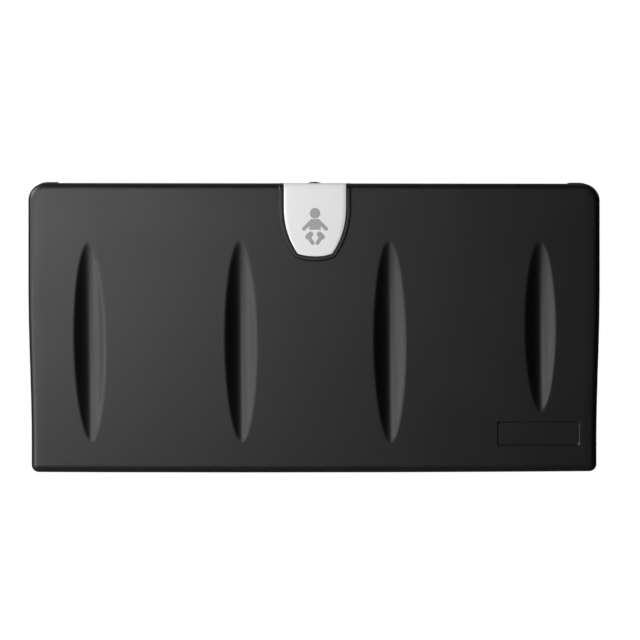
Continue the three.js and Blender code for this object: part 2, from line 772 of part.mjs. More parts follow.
for (const [name, side] of sides) {
  const spring = new THREE.Group();
  spring.position.set(side * springOffset, -footDepth, footHeight);
  spring.rotation.x = springTilt;
  wallUnit.add(spring);
  addPiece(spring, `gas_rod_${name}`, springRod(), chromeRod);
  addPiece(spring, `gas_cylinder_${name}`, springTube(), springBlack);

  // Foot bracket: a cheek on the end of the apron, with the stud through the eye
  const cheek = [apronWidth / 2 + seatGap, apronWidth / 2 + seatGap + springPlate];
  const span = (a, b) => (side > 0 ? [a, b] : [-b, -a]);
  const studEnd = springOffset + eyeWidth / 2 - seatGap;
  const foot = joined(
    block(span(...cheek), [backPanelFront + seatGap, footDepth + eyeRadius],
      [bottomBow + skin + seatGap, apronTop - seatGap]),
    rodAcross(...span(cheek[0] + overrun, studEnd), footDepth, footHeight, studRadius),
  );
  addPiece(wallUnit, `gas_foot_${name}`, foot, zincSteel);

  // Head bracket: hung under the flange of the pan, with a stud that meets the upper eye
  const legOuter = springOffset + springBayWidth / 2 - headBracketGap;
  const leg = [legOuter - springPlate, legOuter];
  const bracketHeights = [-1, 1].map(
    (end) => headHeight + end * (eyeRadius + headBracketMargin));
  const top = flangeFront + seatGap;
  const head = joined(
    block(span(...leg), [top, headDepth + eyeRadius], bracketHeights),
    block(span(springOffset - eyeWidth / 2, legOuter), [top, top + springPlate], bracketHeights),
    rodAcross(...span(springOffset + eyeWidth / 2 + seatGap, leg[0] + overrun), headDepth, headHeight,
      studRadius),
  );
  addPiece(bed, `gas_head_${name}`, head, zincSteel);
}

// Liner doors with their pins, locks and paper stacks
function linerDoor(centre) {
  const ends = [centre - doorWidth / 2, centre + doorWidth / 2];
  const faces = [fasciaDepth - doorThickness, fasciaDepth];
  const plate = block(ends, faces, [doorPinHeight, doorTop]);
  const barrel = rodAcross(ends[0], ends[1], doorAxisDepth, doorPinHeight, doorBarrelRadius);
  const half = slotLength / 2 - slotHeight / 2;
  const slotShape = new THREE.Shape();
  slotShape.absarc(centre - half, doorPinHeight + slotRise, slotHeight / 2, Math.PI / 2, 1.5 * Math.PI);
  slotShape.absarc(centre + half, doorPinHeight + slotRise, slotHeight / 2, -Math.PI / 2, Math.PI / 2);
  const slot = prism(slotShape, faces[0] - overrun, faces[1] + overrun);
  const bore = rodAcross(ends[0] - overrun, ends[1] + overrun, doorAxisDepth, doorPinHeight,
    doorPinRadius + seatGap);
  const lockHole = rodForward(centre, lockHeight, faces[0] - overrun, faces[1] + overrun,
    lockRadius + turnGap);
  return cutBy(plate.add(barrel), slot, bore, lockHole);
}

function lockBarrel(centre) {
  const flangeBack = fasciaDepth + seatGap;
  const flangeFace = flangeBack + lockFlange;
  const barrel = rodForward(centre, lockHeight, fasciaBack - seatGap, flangeBack + overrun, lockRadius);
  const flange = rodForward(centre, lockHeight, flangeBack, flangeFace, lockFlangeRadius);
  const slot = block([centre - lockRadius, centre + lockRadius],
    [flangeFace - lockSlotDepth, flangeFace + overrun], [lockHeight - lockSlotWidth / 2,
      lockHeight + lockSlotWidth / 2]);
  return barrel.add(flange).subtract(slot);
}

function lockCam(centre) {
  const shape = new THREE.Shape();
  shape.absarc(centre, lockHeight, camRadius, Math.PI / 2, 1.5 * Math.PI);
  shape.lineTo(centre + camLength - chamfer, lockHeight - camRadius);
  shape.lineTo(centre + camLength, lockHeight - camRadius + chamfer);
  shape.lineTo(centre + camLength, lockHeight + camRadius - chamfer);
  shape.lineTo(centre + camLength - chamfer, lockHeight + camRadius);
  return prism(shape, camDepth, camDepth + camThickness);
}

for (const [name, side] of sides) {
  const centre = side * doorCentre;
  addPiece(wallUnit, `liner_door_${name}`, linerDoor(centre), blackTray);
  const pinEnd = openingHalf + earLength - pocketWall - seatGap;
  const pin = rodAcross(centre - pinEnd, centre + pinEnd, doorAxisDepth, doorPinHeight, doorPinRadius);
  addPiece(wallUnit, `liner_door_pin_${name}`, pin, zincSteel);
  addPiece(wallUnit, `lock_barrel_${name}`, lockBarrel(centre), chromeRod);
  addPiece(wallUnit, `lock_cam_${name}`, lockCam(centre), zincSteel);
  const stackBack = pocketBack + seatGap;
  const stack = block([centre - openingHalf + stackMargin, centre + openingHalf - stackMargin],
    [stackBack, stackBack + stackThickness], [pocketFloor + seatGap, pocketFloor + seatGap + stackHeight]);
  addPiece(wallUnit, `liner_stack_${name}`, stack, paperWhite);
}

// Bag hooks screwed to the fascia
function bagHook(centre) {
  const back = fasciaDepth + seatGap;
  const front = back + hookBase;
  const tip = front + hookReach;
  const base = prism(roundedRectangle(centre - hookWidth / 2, centre + hookWidth / 2, hookLow,
    hookLow + hookHeight, hookWidth / 2 - overrun), back, front);
  const inner = hookReach / 2 - hookBar;
  const middle = front + hookReach / 2;
  const bend = hookLow + hookReach / 2 + hookBar;
  const shape = new THREE.Shape();
  shape.moveTo(front - overrun, bend - hookReach / 2 + hookBar / 2);
  shape.lineTo(middle, bend - hookReach / 2);
  shape.absarc(middle, bend, hookReach / 2, -Math.PI / 2, 0);
  shape.lineTo(tip, bend + hookLip);
  shape.lineTo(tip - hookBar, bend + hookLip);
  shape.lineTo(tip - hookBar, bend);
  shape.absarc(middle, bend, inner, 0, -Math.PI / 2, true);
  shape.lineTo(front - overrun, bend - inner + hookBar / 2);
  return base.add(across(shape, centre - hookBar, centre + hookBar));
}
for (const [name, side] of sides) {
  addPiece(wallUnit, `bag_hook_${name}`, bagHook(side * hookOffset), blackTray);
}

// Rubber bumpers that meet the rim of the closed bed
for (const [name, side] of sides) {
  const centre = side * bumperOffset;
  const head = rodForward(centre, bumperHeight, wallUnitDepth + seatGap, bedBack - seatGap, bumperRadius);
  const stem = rodForward(centre, bumperHeight, wallUnitDepth - padThickness - overrun,
    wallUnitDepth + overrun, bumperStem);
  addPiece(wallUnit, `rubber_bumper_${name}`, head.add(stem), rubberBlack);
}

// Safety strap: two lengths of webbing through the pan floor, each held by a bar underneath
const strapFloor = panFloor - seatGap;
const strapFace = strapFloor - strapThickness;
const strapLow = panUnder + strapTail;
const halfStrap = strapThickness / 2;
const buckleHigh = buckleLow + buckleLength;
const tailFloor = strapFloor - bucklePlate - seatGap;
const tailFace = tailFloor - strapThickness;

const rearStrap = polygon([
  [strapLow, strapSlotLow - halfStrap], [strapFace, strapSlotLow - halfStrap],
  [strapFace, buckleLow - seatGap], [strapFloor, buckleLow - seatGap],
  [strapFloor, strapSlotLow + halfStrap], [strapLow, strapSlotLow + halfStrap]]);
const frontStrap = polygon([
  [strapLow, strapSlotHigh + halfStrap], [strapFace, strapSlotHigh + halfStrap],
  [strapFace, buckleHigh + 2 * strapJog], [tailFace, buckleHigh + strapJog / 2],
  [tailFace, strapEnd], [tailFloor, strapEnd], [tailFloor, buckleHigh],
  [strapFloor, buckleHigh + 1.5 * strapJog], [strapFloor, strapSlotHigh - halfStrap],
  [strapLow, strapSlotHigh - halfStrap]]);
addPiece(bed, 'strap_rear', across(rearStrap, -strapWidth / 2, strapWidth / 2), webbingGrey);
addPiece(bed, 'strap_front', across(frontStrap, -strapWidth / 2, strapWidth / 2), webbingGrey);

const barDepths = [panUnder + seatGap, panUnder + seatGap + anchorBarThickness];
const barEnds = [-anchorBarLength / 2, anchorBarLength / 2];
const rearBarTop = strapSlotLow - halfStrap - seatGap;
const frontBarLow = strapSlotHigh + halfStrap + seatGap;
const rearBar = block(barEnds, barDepths, [rearBarTop - anchorBarWidth, rearBarTop]);
const frontBar = block(barEnds, barDepths, [frontBarLow, frontBarLow + anchorBarWidth]);
addPiece(bed, 'strap_bar_rear', rearBar, zincSteel);
addPiece(bed, 'strap_bar_front', frontBar, zincSteel);

// Cam buckle: base with two cheeks, a pin and a lever whose cam bites the webbing
const leverHeight = buckleLow + bucklePinRise;
const leverDepth = tailFace - camLobe - turnGap;

function buckleFrame() {
  const half = buckleWidth / 2;
  const base = prism(roundedRectangle(-half, half, buckleLow, buckleHigh, cheekThickness),
    strapFloor - bucklePlate, strapFloor);
  const cheeks = sides.map(([, side]) => {
    const spans = [side * half, side * (half - cheekThickness)].sort((a, b) => a - b);
    const low = leverHeight - cheekLength / 2;
    return block(spans, [strapFloor - bucklePlate - cheekHeight, strapFloor - bucklePlate / 2],
      [low, low + cheekLength]);
  });
  const pinHole = rodAcross(-buckleWidth, buckleWidth, leverDepth, leverHeight, bucklePinRadius + seatGap);
  return joined(base, ...cheeks).subtract(pinHole);
}

function buckleLever() {
  const half = buckleWidth / 2 - cheekThickness - turnGap;
  const lobe = rodAcross(-half, half, leverDepth, leverHeight, camLobe);
  const face = leverDepth - camLobe;
  const arm = block([-half, half], [face, face + leverThickness], [leverHeight - leverLength, leverHeight]);
  const bore = rodAcross(-buckleWidth, buckleWidth, leverDepth, leverHeight, bucklePinRadius + seatGap);
  return lobe.add(arm).subtract(bore);
}
addPiece(bed, 'buckle_frame', buckleFrame(), bucklePlastic);
addPiece(bed, 'buckle_pin', rodAcross(-buckleWidth / 2 + seatGap, buckleWidth / 2 - seatGap, leverDepth,
  leverHeight, bucklePinRadius), zincSteel);
addPiece(bed, 'buckle_lever', buckleLever(), bucklePlastic);

export default station;
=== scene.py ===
import json
import math

import bmesh
import bpy
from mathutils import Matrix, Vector


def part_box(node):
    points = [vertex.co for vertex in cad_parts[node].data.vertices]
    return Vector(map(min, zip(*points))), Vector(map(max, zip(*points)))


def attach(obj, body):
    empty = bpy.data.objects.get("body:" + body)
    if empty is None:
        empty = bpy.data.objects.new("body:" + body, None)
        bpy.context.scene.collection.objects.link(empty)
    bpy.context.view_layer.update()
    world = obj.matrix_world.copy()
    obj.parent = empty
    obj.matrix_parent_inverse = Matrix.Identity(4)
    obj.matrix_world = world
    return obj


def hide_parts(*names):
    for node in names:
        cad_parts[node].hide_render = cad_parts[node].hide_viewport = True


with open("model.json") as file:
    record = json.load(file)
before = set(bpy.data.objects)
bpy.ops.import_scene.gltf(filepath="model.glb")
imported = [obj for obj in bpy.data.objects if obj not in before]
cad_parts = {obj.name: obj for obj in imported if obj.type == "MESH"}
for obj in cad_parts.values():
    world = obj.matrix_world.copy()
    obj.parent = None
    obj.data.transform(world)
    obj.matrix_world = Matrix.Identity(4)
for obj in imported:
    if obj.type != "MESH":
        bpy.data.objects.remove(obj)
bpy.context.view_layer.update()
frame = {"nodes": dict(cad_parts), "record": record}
nodes = frame["nodes"]


# Shader maths on sockets

class Wire:
    def __init__(self, tree, socket=None):
        self.tree, self.socket = tree, socket

    def node(self, kind, sockets, output=0, **settings):
        made = self.tree.nodes.new(kind)
        for name, value in settings.items():
            setattr(made, name, value)
        for name, value in sockets.items():
            if isinstance(value, Wire):
                self.tree.links.new(value.socket, made.inputs[name])
            else:
                made.inputs[name].default_value = value
        return Wire(self.tree, made.outputs[output])

    # another output of the same node
    def twin(self, output):
        return Wire(self.tree, self.socket.node.outputs[output])

    def maths(self, operation, *values):
        return self.node("ShaderNodeMath", dict(enumerate(values)), operation=operation)

    def __add__(self, other):
        return self.maths("ADD", self, other)

    def __radd__(self, other):
        return self.maths("ADD", other, self)

    def __sub__(self, other):
        return self.maths("SUBTRACT", self, other)

    def __mul__(self, other):
        return self.maths("MULTIPLY", self, other)

    # a noise about its mean
    def varied(self, amount):
        return (self - 0.5) * amount

    def between(self, low, high):
        return self.node("ShaderNodeMapRange", {"Value": self, "From Min": low, "From Max": high},
                         interpolation_type="SMOOTHSTEP")

    def mixed(self, first, second):
        return self.node("ShaderNodeMix", {0: self, 6: first, 7: second}, 2, data_type="RGBA")

    def noise(self, place, scale, detail=2.0):
        return self.node("ShaderNodeTexNoise", {"Vector": place, "Scale": scale, "Detail": detail})

    def stretched(self, place, scale):
        return self.node("ShaderNodeMapping", {"Vector": place, "Scale": scale})

    def bump(self, height, distance, strength):
        return self.node("ShaderNodeBump",
                         {"Height": height, "Distance": distance, "Strength": strength})


def newMaterial(name, **fixed):
    material = bpy.data.materials.new(name)
    material.use_nodes = True
    tree = material.node_tree
    shader = next(n for n in tree.nodes if n.type == "BSDF_PRINCIPLED")
    for socket, value in fixed.items():
        shader.inputs[socket.replace("_", " ")].default_value = value
    wire = Wire(tree)
    place = wire.node("ShaderNodeTexCoord", {}, "Object")
    return material, shader, wire, place


def plug(wire, shader, **sockets):
    for name, value in sockets.items():
        wire.tree.links.new(value.socket, shader.inputs[name.replace("_", " ")])


def grey(level, tint=(1.0, 1.0, 1.0)):
    return (level * tint[0], level * tint[1], level * tint[2], 1.0)


# the part of a noise's range that a colour runs over
noiseSpan = (0.3, 0.7)

# Rotational-moulded polyethylene, satin black with a fine sand grain
moulded = {
    "grain": 1500.0, "pores": 520.0, "cloud": 9.0, "poreShare": 0.7, "bump": (0.00035, 0.4),
    "dark": 0.004, "pale": 0.005, "tint": (0.98, 1.0, 1.02), "specular": 0.42,
    "rough": 0.43, "cloudRough": 0.08, "poreRough": 0.1,
}


def mouldedPlastic():
    material, shader, wire, place = newMaterial(
        "moulded_black", Specular_IOR_Level=moulded["specular"])
    grain = wire.noise(place, moulded["grain"], detail=3.0)
    pores = wire.noise(place, moulded["pores"], detail=2.0)
    cloud = wire.noise(place, moulded["cloud"], detail=3.0)
    pale = grey(moulded["pale"], moulded["tint"])
    rough = moulded["rough"] + cloud.varied(moulded["cloudRough"])
    plug(wire, shader, Base_Color=cloud.between(*noiseSpan).mixed(grey(moulded["dark"]), pale),
         Roughness=rough + pores.varied(moulded["poreRough"]),
         Normal=wire.bump(grain + pores * moulded["poreShare"], *moulded["bump"]))
    return material


paint = {"cloud": 30.0, "dark": 0.985, "tint": (0.995, 1.0, 0.99), "cloudRough": 0.06}


def signPaint(name, level, rough):
    material, shader, wire, place = newMaterial(name)
    cloud = wire.noise(place, paint["cloud"])
    colour = cloud.between(*noiseSpan).mixed(
        grey(level * paint["dark"]), grey(level, paint["tint"]))
    plug(wire, shader, Base_Color=colour, Roughness=rough + cloud.varied(paint["cloudRough"]))
    return material


brushed = {"lines": 60.0, "dark": 0.92, "tint": (0.99, 1.0, 1.01), "lineRough": 0.16,
           "bump": (0.00006, 0.5)}


def brushedMetal(name, level, rough, stretch):
    material, shader, wire, place = newMaterial(name, Metallic=1.0)
    lines = wire.noise(wire.stretched(place, stretch), brushed["lines"], detail=4.0)
    colour = lines.between(*noiseSpan).mixed(
        grey(level * brushed["dark"]), grey(level, brushed["tint"]))
    plug(wire, shader, Base_Color=colour, Roughness=rough + lines.varied(brushed["lineRough"]),
         Normal=wire.bump(lines, *brushed["bump"]))
    return material


plain = {"cloud": 24.0, "dark": 0.88, "cloudRough": 0.1, "strength": 0.5}


def plainPlastic(name, level, rough, scale, depth, coat=0.0):
    material, shader, wire, place = newMaterial(name, Coat_Weight=coat)
    grain = wire.noise(place, scale, detail=3.0)
    cloud = wire.noise(place, plain["cloud"])
    colour = cloud.between(*noiseSpan).mixed(grey(level * plain["dark"]), grey(level))
    plug(wire, shader, Base_Color=colour, Roughness=rough + cloud.varied(plain["cloudRough"]),
         Normal=wire.bump(grain, depth, plain["strength"]))
    return material


# Woven nylon: crossing yarns by the place across and along the band
yarn = {
    "across": 2600.0, "along": 2100.0, "slowAcross": 1300.0, "slowAlong": 1050.0,
    "weave": 0.5, "slow": 0.25, "span": (-0.6, 0.7), "bump": (0.0004, 0.8),
    "dark": 0.012, "pale": 0.045, "tint": (0.97, 1.0, 1.05),
    "rough": 0.72, "weaveRough": 0.08, "sheen": 0.25,
}


def webbing():
    material, shader, wire, place = newMaterial("strap_webbing", Sheen_Weight=yarn["sheen"])
    across = wire.node("ShaderNodeSeparateXYZ", {"Vector": place}, "X")
    along = across.twin("Z")
    weave = (wire.maths("SINE", across * yarn["across"])
             * wire.maths("SINE", along * yarn["along"]))
    slow = wire.maths("SINE", across * yarn["slowAcross"] + along * yarn["slowAlong"])
    height = weave * yarn["weave"] + slow * yarn["slow"]
    # the colour follows the height of the weave: painted shade in the hollows between the yarns and
    # painted highlight on their crowns
    colour = height.between(*yarn["span"]).mixed(
        grey(yarn["dark"]), grey(yarn["pale"], yarn["tint"]))
    plug(wire, shader, Base_Color=colour, Roughness=yarn["rough"] + height * yarn["weaveRough"],
         Normal=wire.bump(height, *yarn["bump"]))
    return material


# Tissue: sheet edges across the depth of the stack, fibre all over
tissue = {
    "sheets": (2.0, 900.0, 2.0), "fibre": 700.0, "fibreShare": 0.3, "span": (0.35, 0.6),
    "dark": 0.62, "darkTint": (1.0, 0.99, 0.96), "pale": 0.8, "paleTint": (1.0, 0.99, 0.97),
    "rough": 0.9, "bump": (0.0003, 0.6),
}


def layeredPaper():
    material, shader, wire, place = newMaterial("liner_paper", Roughness=tissue["rough"])
    sheets = wire.noise(wire.stretched(place, tissue["sheets"]), 1.0, detail=2.0)
    fibre = wire.noise(place, tissue["fibre"], detail=3.0)
    colour = sheets.between(*tissue["span"]).mixed(
        grey(tissue["dark"], tissue["darkTint"]), grey(tissue["pale"], tissue["paleTint"]))
    plug(wire, shader, Base_Color=colour,
         Normal=wire.bump(sheets + fibre * tissue["fibreShare"], *tissue["bump"]))
    return material


plastic = mouldedPlastic()
signWhite = signPaint("sign_white", level=0.80, rough=0.42)
signGrey = signPaint("sign_grey", level=0.34, rough=0.5)
zinc = brushedMetal("zinc_steel", level=0.56, rough=0.4, stretch=(1.0, 14.0, 14.0))
chrome = brushedMetal("bright_chrome", level=0.78, rough=0.16, stretch=(6.0, 6.0, 1.0))
springPaint = plainPlastic(
    "spring_black", level=0.012, rough=0.3, scale=900.0, depth=0.00008, coat=0.3)
rubber = plainPlastic("bumper_rubber", level=0.016, rough=0.82, scale=1200.0, depth=0.0003)
strapNylon = webbing()
bucklePlastic = plainPlastic("buckle_plastic", level=0.014, rough=0.4, scale=1600.0, depth=0.0002)
paper = layeredPaper()
threadGrey = plainPlastic("strap_thread", level=0.11, rough=0.7, scale=2400.0, depth=0.0001)
print("materials made")


# Modelling helpers

def alone(obj):
    bpy.ops.object.select_all(action="DESELECT")
    obj.select_set(True)
    bpy.context.view_layer.objects.active = obj


def begin(obj):
    alone(obj)
    bpy.ops.object.mode_set(mode="EDIT")
    bpy.context.tool_settings.mesh_select_mode = (True, True, True)


def leave(obj):
    bpy.ops.object.mode_set(mode="OBJECT")
    obj.select_set(False)


def settled():
    bpy.ops.object.transform_apply(location=True, rotation=True, scale=True)


def added(name, primitive, **settings):
    bpy.ops.object.select_all(action="DESELECT")
    primitive(**settings)
    obj = bpy.context.active_object
    obj.name = obj.data.name = name
    settled()
    return obj


def grid(name, across, along, **settings):
    return added(name, bpy.ops.mesh.primitive_grid_add, x_subdivisions=across,
                 y_subdivisions=along, size=2, **settings)


def joined(pieces, name):
    bpy.ops.object.select_all(action="DESELECT")
    for piece in pieces:
        piece.select_set(True)
    bpy.context.view_layer.objects.active = pieces[0]
    bpy.ops.object.join()
    whole = bpy.context.active_object
    whole.name = whole.data.name = name
    return whole


def pick(obj, kind, test):
    bpy.ops.mesh.select_all(action="DESELECT")
    bm = bmesh.from_edit_mesh(obj.data)
    for part in getattr(bm, kind):
        if test(part):
            part.select_set(True)
    bmesh.update_edit_mesh(obj.data)


def near(value, target, slack=2e-4):
    return abs(value - target) < slack


def reshape(obj, move):
    bm = bmesh.from_edit_mesh(obj.data)
    for vert in bm.verts:
        vert.co = move(vert.co)
    bmesh.update_edit_mesh(obj.data)


def cutAt(axis, places):
    normal = [0.0, 0.0, 0.0]
    normal[axis] = 1.0
    for place in places:
        point = [0.0, 0.0, 0.0]
        point[axis] = place
        bpy.ops.mesh.select_all(action="SELECT")
        bpy.ops.mesh.bisect(plane_co=point, plane_no=normal)


def thickened(value):
    bpy.ops.mesh.select_all(action="SELECT")
    bpy.ops.mesh.extrude_region_move(TRANSFORM_OT_translate={"value": value})


def merged():
    bpy.ops.mesh.select_all(action="SELECT")
    bpy.ops.mesh.remove_doubles(threshold=1e-6)


def tidied(obj):
    begin(obj)
    merged()
    bpy.ops.mesh.normals_make_consistent(inside=False)
    leave(obj)


def modified(obj, kind, **settings):
    modifier = obj.modifiers.new(kind.lower(), kind)
    for name, value in settings.items():
        setattr(modifier, name, value)
    return modifier


def applied(obj, kind, **settings):
    modifier = modified(obj, kind, **settings)
    bpy.context.view_layer.objects.active = obj
    bpy.ops.object.modifier_apply(modifier=modifier.name)


def softened(obj, width, segments, angle):
    applied(obj, "BEVEL", width=width, segments=segments, limit_method="ANGLE",
            angle_limit=math.radians(angle))


def smoothed(obj, angle):
    alone(obj)
    bpy.ops.object.shade_smooth_by_angle(angle=math.radians(angle))


def placed(obj, body, slot, material, *replaced):
    obj.data.materials.clear()
    obj.data.materials.append(material)
    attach(obj, body)
    if replaced:
        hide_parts(*replaced)


# Bed shell: outline, rolled front edge, skirt, hinge step, lens grooves and recess
bed = {
    "half": 0.4635, "top": 0.234, "bottom": -0.2335, "front": -0.102, "back": -0.052,
    "skirtBack": -0.084, "hingeStep": -0.1992, "topRadius": 0.028, "bottomRadius": 0.0118,
    "edge": 0.011, "wall": 0.003, "bayInner": 0.431, "bayOuter": 0.455,
    "taper": 0.0054, "taperTop": 0.065, "taperLow": -0.185, "taperFrom": 0.41, "taperRun": 0.04,
    "taperLine": 0.44, "bow": 0.00148, "bowFrom": -0.213, "bowRun": 0.008,
}
# each lens: middle, lean of its foot, half width, top, bottom; the last stops above the recess
groove = {
    "lenses": (
        (-0.3638, 0.0050, 0.0244, 0.1370, -0.1842),
        (-0.1201, 0.0027, 0.0244, 0.1384, -0.1854),
        (0.1210, 0.0027, 0.0244, 0.1388, -0.1866),
        (0.3653, 0.0010, 0.0232, 0.1390, -0.1362),
    ),
    "slope": 0.95, "round": 0.0165, "point": 1.13, "margin": 0.034, "lip": 0.0022, "tipLip": 0.15,
    "rows": (0.143, 0.105, 0.06, 0.015, -0.03, -0.075, -0.115, -0.146, -0.1969), "cuts": 9,
}
# lines: cuts round the recess, as shares of its corner radius
recess = {
    "x": 0.3642, "halfWidth": 0.0683, "low": -0.1908, "high": -0.1531, "depth": 0.0014,
    "slope": 0.0012, "corner": 0.0055, "lines": (-0.4, 0.0, 0.3, 0.55, 0.8, 1.1),
}


def eased(value):
    value = min(max(value, 0.0), 1.0)
    return value * value * (3 - 2 * value)


# walls of one slope that meet in a round bottom, with pointed ends and eased lips
def grooveDepth(x, z):
    for place, lean, half, top, bottom in groove["lenses"]:
        if abs(x - place) > groove["margin"]:
            continue
        along = (z * 2 - top - bottom) / (top - bottom)
        inside = 1 - along ** 2
        span = half ** 2 * math.copysign(abs(inside) ** groove["point"], inside)
        crest = math.sqrt(max(span + groove["round"] ** 2, 0.0))
        across = math.hypot(x - place + lean * along / 2, groove["round"])
        raw = groove["slope"] * (crest - across)
        tip = groove["tipLip"]
        lip = groove["lip"] * (tip + (1 - tip) * math.sqrt(max(span, 0.0)) / half)
        blend = max(lip - abs(raw), 0.0) / lip
        return max(raw, 0.0) + blend * blend * lip / 4
    return 0.0


def recessDepth(x, z):
    corner = recess["corner"]
    middle, tall = (recess["low"] + recess["high"]) / 2, (recess["high"] - recess["low"]) / 2
    across = abs(x - recess["x"]) - recess["halfWidth"] + corner
    along = abs(z - middle) - tall + corner
    outside = math.hypot(max(across, 0.0), max(along, 0.0)) + min(max(across, along), 0.0)
    return recess["depth"] * min(max((corner - outside) / recess["slope"] + 0.5, 0.0), 1.0)


# the sides draw in toward the foot, and the bottom edge bows
def bedOutline(co):
    x, y, z = co
    sunk = recessDepth(x, z)
    side = eased((abs(x) - bed["taperFrom"]) / bed["taperRun"])
    foot = eased((bed["taperTop"] - z) / (bed["taperTop"] - bed["taperLow"]))
    low = eased((bed["bowFrom"] - z) / bed["bowRun"])
    x -= math.copysign(bed["taper"] * foot * side, x)
    z -= bed["bow"] * (1 - (x / bed["half"]) ** 2) * low
    if near(y, bed["front"], 1e-5):
        y += grooveDepth(x, z) + sunk
    return Vector((x, y, z))


def wallsOn(shell, depth):
    pick(shell, "edges", lambda e: e.is_boundary)
    bpy.ops.mesh.extrude_edges_move(TRANSFORM_OT_translate={"value": (0, depth, 0)})


def byGroove(face):
    middle, rows = face.calc_center_median(), groove["rows"]
    beside = any(abs(middle.x - lens[0]) < groove["margin"] for lens in groove["lenses"])
    return near(face.normal.y, -1, 1e-3) and rows[-1] < middle.z < rows[0] and beside


def onStep(face):
    level = near(face.calc_center_median().z, bed["hingeStep"])
    return near(abs(face.normal.z), 1, 1e-2) and level


def inBay(face):
    across = abs(face.calc_center_median().x)
    return onStep(face) and bed["bayInner"] < across < bed["bayOuter"]


def buildBedShell():
    shell = added("bed_front", bpy.ops.mesh.primitive_plane_add, size=1,
                  rotation=(math.pi / 2, 0, 0))
    begin(shell)
    bpy.ops.mesh.select_all(action="SELECT")
    bpy.ops.transform.resize(value=(2 * bed["half"], 1, bed["top"] - bed["bottom"]))
    bpy.ops.transform.translate(value=(0, bed["front"], (bed["top"] + bed["bottom"]) / 2))
    pick(shell, "verts", lambda v: v.co.z > 0)
    bpy.ops.mesh.bevel(affect="VERTICES", offset=bed["topRadius"], segments=12)
    pick(shell, "verts", lambda v: near(v.co.z, bed["bottom"]))
    bpy.ops.mesh.bevel(affect="VERTICES", offset=bed["bottomRadius"], segments=8)
    wallsOn(shell, bed["skirtBack"] - bed["front"])
    pick(shell, "edges", lambda e: all(near(v.co.y, bed["front"]) for v in e.verts))
    bpy.ops.mesh.bevel(affect="EDGES", offset=bed["edge"], segments=8, clamp_overlap=False)
    # lines that the grooves, the recess and the tapered sides need
    ends = [recess["slope"] / 2 - recess["corner"] * t for t in recess["lines"]]
    columns = [lens[0] + groove["margin"] * s
               for lens in groove["lenses"] for s in (-1, -0.5, 0, 0.5, 1)]
    columns += [recess["x"] + s * (recess["halfWidth"] + e) for s in (-1, 1) for e in ends]
    columns += [-bed["taperLine"], bed["taperLine"]]
    rows = list(groove["rows"])
    rows += [place + s * e
             for place, s in ((recess["low"], -1), (recess["high"], 1)) for e in ends]
    rows += [bed["hingeStep"], bed["bowFrom"], bed["bowFrom"] - bed["bowRun"]]
    cutAt(0, columns)
    cutAt(2, rows)
    # the step for the hinge, then the walls on to the rim
    below = bed["hingeStep"] + 1e-4
    pick(shell, "verts", lambda v: near(v.co.y, bed["skirtBack"]) and v.co.z < below)
    bpy.ops.mesh.edge_face_add()
    wallsOn(shell, bed["back"] - bed["skirtBack"])
    pick(shell, "faces", byGroove)
    bpy.ops.mesh.subdivide(number_cuts=groove["cuts"])
    reshape(shell, bedOutline)
    # the bays that the gas springs pass through
    for place in (-bed["bayOuter"], -bed["bayInner"], bed["bayInner"], bed["bayOuter"]):
        pick(shell, "faces", onStep)
        bpy.ops.mesh.bisect(plane_co=(place, 0, 0), plane_no=(1, 0, 0))
    pick(shell, "faces", inBay)
    bpy.ops.mesh.delete(type="FACE")
    leave(shell)
    tidied(shell)
    applied(shell, "SOLIDIFY", thickness=bed["wall"], offset=-1.0, use_even_offset=True)
    smoothed(shell, angle=32.0)
    return shell


# Sign: a shield that rolls over the top edge, and the raised border round it
sign = {
    "half": 0.0503, "cornerHalf": 0.0276, "straight": 0.04, "cornerDrop": 0.1145, "drop": 0.119,
    "cornerSpread": 0.6, "cornerSink": 0.75, "bend": 0.56, "sideShare": 0.35, "curveShare": 0.8,
    "topArc": 0.0155, "seat": 0.0005, "thickness": 0.0015, "plateEdge": 0.0005, "thinning": 0.95,
    "gap": 0.0012, "border": 0.0075, "borderRise": 0.0026, "borderWall": 0.0012,
    "borderInner": 0.16, "borderOuter": 0.34, "borderSink": 0.0004,
}


# share runs from the top left (0) round the lowest point (0.5) to the top right (1)
def shieldPoint(share, margin):
    side = -1.0 if share < 0.5 else 1.0
    run = share * 2 if share < 0.5 else (1 - share) * 2
    wide, straight, lowest = sign["half"] + margin, sign["straight"], sign["drop"] + margin
    cornerX = sign["cornerHalf"] + margin * sign["cornerSpread"]
    cornerDown = sign["cornerDrop"] + margin * sign["cornerSink"]
    bend = straight + (cornerDown - straight) * sign["bend"]
    upper, lower = sign["sideShare"], sign["curveShare"]
    if run < upper:
        start = bed["edge"] - sign["topArc"]
        across, down = wide, start + run / upper * (straight - start)
    elif run < lower:
        t = (run - upper) / (lower - upper)
        across = (1 - t) ** 2 * wide + 2 * t * (1 - t) * wide + t * t * cornerX
        down = (1 - t) ** 2 * straight + 2 * t * (1 - t) * bend + t * t * cornerDown
    else:
        t = (run - lower) / (1 - lower) / 2
        across = ((1 - t) ** 2 - t * t) * cornerX
        down = ((1 - t) ** 2 + t * t) * cornerDown + 2 * t * (1 - t) * (2 * lowest - cornerDown)
    return side * across, down


# the flat layout laid on the panel and over its top edge, thinner as it rolls
def rolled(x, rise, down):
    past = bed["edge"] - down
    front, top = bed["front"], bed["top"] - bed["edge"]
    if past <= 0:
        return Vector((x, front - rise, bed["top"] - down))
    turn = min(past / bed["edge"], math.pi / 2)
    reach = bed["edge"] + rise * (1 - sign["thinning"] * turn / (math.pi / 2))
    return Vector((x, front + bed["edge"] - reach * math.cos(turn), top + reach * math.sin(turn)))


def onPlateRim(edge):
    face = -sign["seat"] - sign["thickness"]
    return all(near(v.co.y, face, 1e-6) for v in edge.verts) and any(
        near(f.normal.y, 0, 0.1) for f in edge.link_faces)


